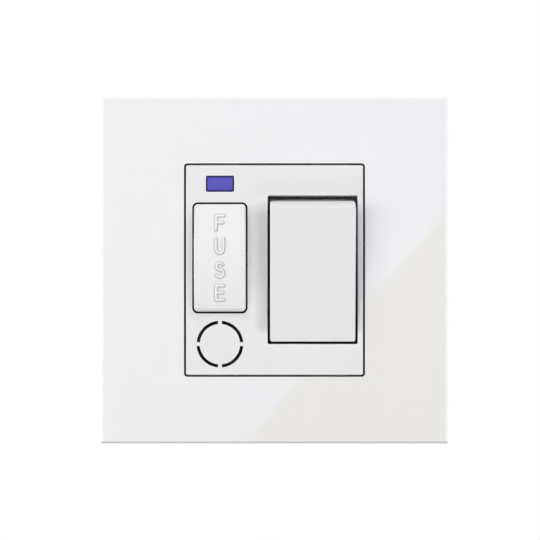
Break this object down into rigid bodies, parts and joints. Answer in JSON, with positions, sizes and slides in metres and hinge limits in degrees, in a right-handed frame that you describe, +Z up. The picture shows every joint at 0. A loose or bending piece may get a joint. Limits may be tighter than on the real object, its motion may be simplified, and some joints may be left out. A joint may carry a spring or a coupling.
{
  "type": "fused spur unit",
  "caption": "Switched fused connection unit: square glass fascia, rocker switch, pull-out fuse carrier, neon indicator and cord outlet knock-out on a single box module.",
  "frame": {"origin": "middle of the plate, on the wall plane behind it", "axes": "+X to the right seen from the front, +Y into the wall, +Z up"},
  "size_m": [0.094, 0.0395, 0.094],
  "materials": {
    "white_glass": "gloss",
    "white_plastic": "satin",
    "grey_moulding": "satin",
    "plunger_plastic": "satin",
    "neon_blue": "gloss",
    "zinc_steel": "satin",
    "brass": "satin",
    "silver_tip": "satin",
    "fuse_ceramic": "matt",
    "circuit_board": "matt",
    "resistor_body": "matt",
    "lamp_glass": "gloss"
  },
  "bodies": {
    "module": {"assembly_screws": "zinc_steel", "cord_clamp_bar": "grey_moulding", "cord_clamp_screws": "zinc_steel", "earth_rivet": "brass", "earth_strap": "brass", "earth_terminal": "brass", "fixed_contact_tips": "silver_tip", "fixing_screw_left": "zinc_steel", "fixing_screw_right": "zinc_steel", "fused_line_clip": "brass", "indicator_board": "circuit_board", "line_indicator_leaf": "brass", "load_line_strap": "brass", "load_line_terminal": "brass", "load_neutral_strap": "brass", "load_neutral_terminal": "brass", "module_cover": "white_plastic", "mounting_grid": "zinc_steel", "neon_lamp": "lamp_glass", "neon_lens": "neon_blue", "neon_resistor": "resistor_body", "neutral_feed_strap": "brass", "neutral_indicator_leaf": "brass", "rear_housing": "grey_moulding", "supply_line_clip": "brass", "supply_line_terminal": "brass", "supply_neutral_terminal": "brass", "terminal_screws": "brass"},
    "fascia": {"glass_plate": "white_glass", "fascia_frame": "white_plastic"},
    "fuse_drawer": {"fuse_carrier": "white_plastic", "fuse_tube": "fuse_ceramic", "upper_fuse_cap": "brass", "lower_fuse_cap": "brass"},
    "rocker": {"rocker": "white_plastic", "line_plunger_spring": "zinc_steel", "neutral_plunger_spring": "zinc_steel"},
    "line_plunger": {"line_plunger": "plunger_plastic"},
    "neutral_plunger": {"neutral_plunger": "plunger_plastic"},
    "line_contact": {"line_moving_contact": "brass", "line_moving_tip": "silver_tip"},
    "neutral_contact": {"neutral_moving_contact": "brass", "neutral_moving_tip": "silver_tip"}
  },
  "joints": [
    {"name": "fascia_pull", "type": "slide", "parent": "module", "child": "fascia", "axis": [0, -1, 0], "range_m": [0, 0.03]},
    {"name": "fuse_drawer_pull", "type": "slide", "parent": "module", "child": "fuse_drawer", "axis": [0, -1, 0], "range_m": [0, 0.026]},
    {"name": "rocker_tilt", "type": "hinge", "parent": "module", "child": "rocker", "pos_m": [0.01034, -0.0019, 0], "axis": [1, 0, 0], "range_deg": [-15, 0]},
    {"name": "line_plunger_slide", "type": "slide", "parent": "rocker", "child": "line_plunger", "axis": [0, 0.9914, 0.1305], "range_m": [-0.0008, 0], "stiffness_N_per_m": 300, "springref_m": 0.001, "deforming": ["line_plunger_spring"]},
    {"name": "neutral_plunger_slide", "type": "slide", "parent": "rocker", "child": "neutral_plunger", "axis": [0, 0.9914, 0.1305], "range_m": [-0.0008, 0], "stiffness_N_per_m": 300, "springref_m": 0.001, "deforming": ["neutral_plunger_spring"]},
    {"name": "line_contact_tilt", "type": "hinge", "parent": "module", "child": "line_contact", "pos_m": [0.00484, 0.01345, 0], "axis": [1, 0, 0], "range_deg": [0, 15]},
    {"name": "neutral_contact_tilt", "type": "hinge", "parent": "module", "child": "neutral_contact", "pos_m": [0.01584, 0.01345, 0], "axis": [1, 0, 0], "range_deg": [0, 15]}
  ],
  "couplings": [
    {"joint": "line_contact_tilt", "follows": "rocker_tilt", "ratio": -1},
    {"joint": "neutral_contact_tilt", "follows": "rocker_tilt", "ratio": -1}
  ]
}
